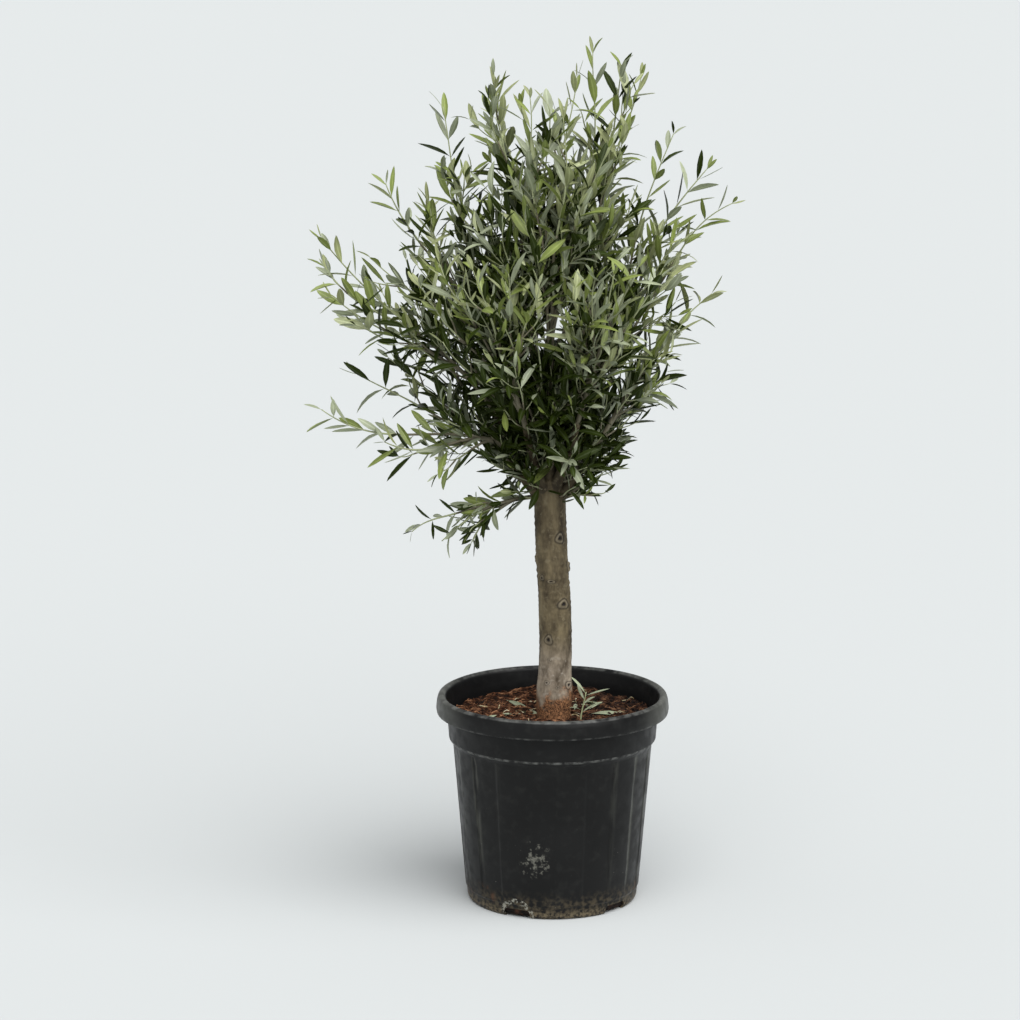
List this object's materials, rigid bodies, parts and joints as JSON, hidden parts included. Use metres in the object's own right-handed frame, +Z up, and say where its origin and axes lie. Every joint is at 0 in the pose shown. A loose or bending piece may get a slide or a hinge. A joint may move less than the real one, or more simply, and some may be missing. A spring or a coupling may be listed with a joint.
{
  "type": "potted olive tree",
  "caption": "Young olive grown as a small standard tree: bare trunk, open crown of leafy twigs on short boughs, in a round black nursery pot filled with potting mix.",
  "frame": {"origin": "middle of the pot's flat underside, on the surface that it stands on", "axes": "+Z up along the trunk, the front faces -Y, +X to the right seen from the front"},
  "size_m": [0.7243, 0.4684, 1.4681],
  "materials": {
    "pot_plastic": "matt moulded black polypropylene, scuffed and dusty at the foot",
    "potting_mix": "loose reddish-brown coir and bark fibres",
    "bark": "smooth grey-brown young bark with knots",
    "foliage": "leathery grey-green leaves with silvery undersides"
  },
  "bodies": {
    "root": {"pot": "pot_plastic", "soil": "potting_mix", "trunk": "bark", "bough_left": "bark", "bough_low_left": "bark", "bough_upper_left": "bark", "bough_centre_left": "bark", "bough_centre_right": "bark", "bough_right": "bark", "bough_low_right": "bark", "bough_front_left": "bark", "bough_front_right": "bark", "bough_front": "bark", "bough_back_left": "bark", "bough_back_right": "bark", "bough_back": "bark", "foliage_left_upper": "foliage", "foliage_left_low": "foliage", "foliage_upper_left": "foliage", "foliage_top_left": "foliage", "foliage_top": "foliage", "foliage_right_upper": "foliage", "foliage_right": "foliage", "foliage_front_left": "foliage", "foliage_front_right": "foliage", "foliage_front_upper": "foliage", "foliage_back_left": "foliage", "foliage_back_right": "foliage", "foliage_back_upper": "foliage", "foliage_left_drooping": "foliage", "foliage_left_inner": "foliage", "foliage_right_low": "foliage", "foliage_right_inner": "foliage", "foliage_front_low": "foliage", "foliage_back_low": "foliage", "foliage_foot_sprout": "foliage"}
  },
  "joints": []
}
